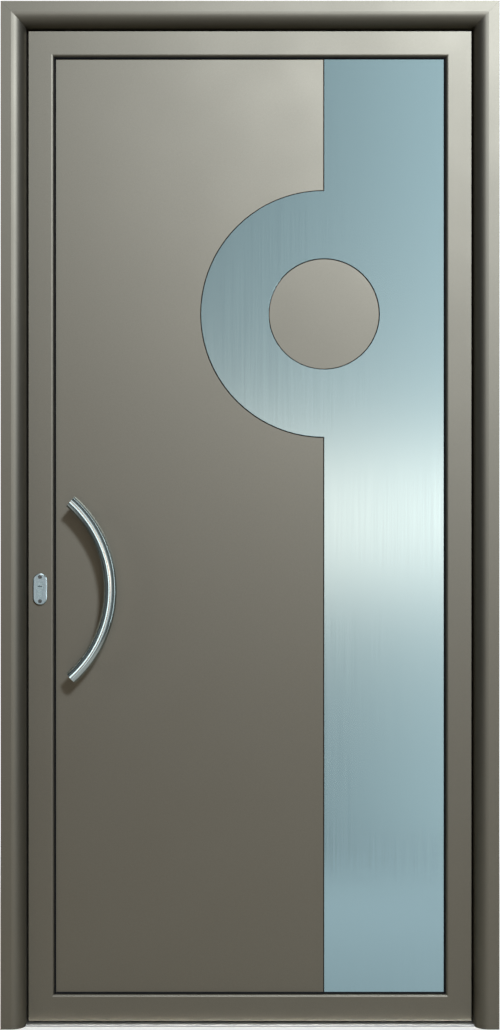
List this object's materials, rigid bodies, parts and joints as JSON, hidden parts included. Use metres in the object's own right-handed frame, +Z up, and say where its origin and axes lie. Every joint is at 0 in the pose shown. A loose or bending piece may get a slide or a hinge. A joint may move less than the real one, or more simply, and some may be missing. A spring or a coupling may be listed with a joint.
{
  "type": "entrance door",
  "caption": "Metal entrance door with its frame: a flush panel with a raised ring-and-band inlay, a bowed pull handle outside and a lever inside.",
  "frame": {"origin": "on the floor under the threshold, halfway across the frame and halfway through its depth", "axes": "+X to the right seen from outside, +Y into the house, +Z up"},
  "size_m": [1.018, 0.1939, 2.1],
  "materials": {
    "powder_coat": "fine-textured metallic powder coat, satin",
    "panel_coat": "fine-textured metallic powder coat, satin",
    "hinge_coat": "powder coat, satin",
    "mill_aluminium": "anodised, satin",
    "cleat_aluminium": "mill finish",
    "inlay_stainless": "brushed along its length",
    "handle_stainless": "satin ground",
    "plate_stainless": "satin ground",
    "furniture_stainless": "satin ground",
    "nickel_brass": "nickel plated, satin",
    "zinc_steel": "zinc plated",
    "pin_steel": "ground",
    "bush_plastic": "moulded",
    "break_plastic": "extruded, matt",
    "black_gasket": "extruded, matt",
    "black_brush": "dense pile",
    "foam_core": "rigid foam"
  },
  "bodies": {
    "frame": {"frame_lock_jamb_outer": "powder_coat", "frame_lock_jamb_inner": "powder_coat", "frame_hinge_jamb_outer": "powder_coat", "frame_hinge_jamb_inner": "powder_coat", "frame_head_outer": "powder_coat", "frame_head_inner": "powder_coat", "frame_thermal_breaks": "break_plastic", "frame_corner_cleats": "cleat_aluminium", "frame_stop_gasket": "black_gasket", "threshold_outer": "mill_aluminium", "threshold_break": "break_plastic", "threshold_inner": "mill_aluminium", "strike_plate": "plate_stainless", "hinge_bottom_frame_part": "hinge_coat", "hinge_middle_frame_part": "hinge_coat", "hinge_top_frame_part": "hinge_coat", "hinge_pins": "pin_steel"},
    "leaf": {"bottom_seal_brush": "black_brush", "bottom_seal_holder": "mill_aluminium", "cylinder_body": "nickel_brass", "cylinder_screw": "zinc_steel", "hinge_bottom_leaf_part": "hinge_coat", "hinge_bushes": "bush_plastic", "hinge_middle_leaf_part": "hinge_coat", "hinge_top_leaf_part": "hinge_coat", "inside_plate": "furniture_stainless", "leaf_bottom_rail_inner": "powder_coat", "leaf_bottom_rail_outer": "powder_coat", "leaf_corner_cleats": "cleat_aluminium", "leaf_hinge_stile_inner": "powder_coat", "leaf_hinge_stile_outer": "powder_coat", "leaf_lock_stile_inner": "powder_coat", "leaf_lock_stile_outer": "powder_coat", "leaf_thermal_breaks": "break_plastic", "leaf_top_rail_inner": "powder_coat", "leaf_top_rail_outer": "powder_coat", "lock_case": "zinc_steel", "lock_faceplate": "plate_stainless", "outer_escutcheon": "furniture_stainless", "panel_beads": "powder_coat", "panel_core": "foam_core", "panel_inlay": "inlay_stainless", "panel_inner_gasket": "black_gasket", "panel_inner_sheet": "panel_coat", "panel_outer_gasket": "black_gasket", "panel_outer_sheet": "panel_coat", "pull_bolts": "zinc_steel", "pull_handle": "handle_stainless"},
    "lever": {"inside_lever": "furniture_stainless", "lever_spindle": "zinc_steel", "lock_follower": "zinc_steel"},
    "latch": {"latch_bolt": "zinc_steel"},
    "cylinder": {"cylinder_plug": "nickel_brass"},
    "bolt": {"dead_bolt": "zinc_steel"}
  },
  "joints": [
    {"name": "leaf_swing", "type": "hinge", "parent": "frame", "child": "leaf", "pos_m": [0.47925, 0.0625, 0], "axis": [0, 0, -1], "range_deg": [0, 100]},
    {"name": "lever_turn", "type": "hinge", "parent": "leaf", "child": "lever", "pos_m": [-0.432, 0.06, 0.996], "axis": [0, 1, 0], "range_deg": [0, 45], "stiffness_Nm_per_rad": 1.5, "springref_deg": -17.19},
    {"name": "latch_slide", "type": "slide", "parent": "leaf", "child": "latch", "axis": [1, 0, 0], "range_m": [0, 0.0121]},
    {"name": "cylinder_turn", "type": "hinge", "parent": "leaf", "child": "cylinder", "pos_m": [-0.432, 0.033, 0.904], "axis": [0, 1, 0], "range_deg": [0, 362]},
    {"name": "bolt_slide", "type": "slide", "parent": "leaf", "child": "bolt", "axis": [-1, 0, 0], "range_m": [0, 0.02]}
  ],
  "couplings": [
    {"joint": "latch_slide", "follows": "lever_turn", "m_per_rad": 0.015279},
    {"joint": "cylinder_turn", "follows": "bolt_slide", "rad_per_m": 314.16}
  ]
}
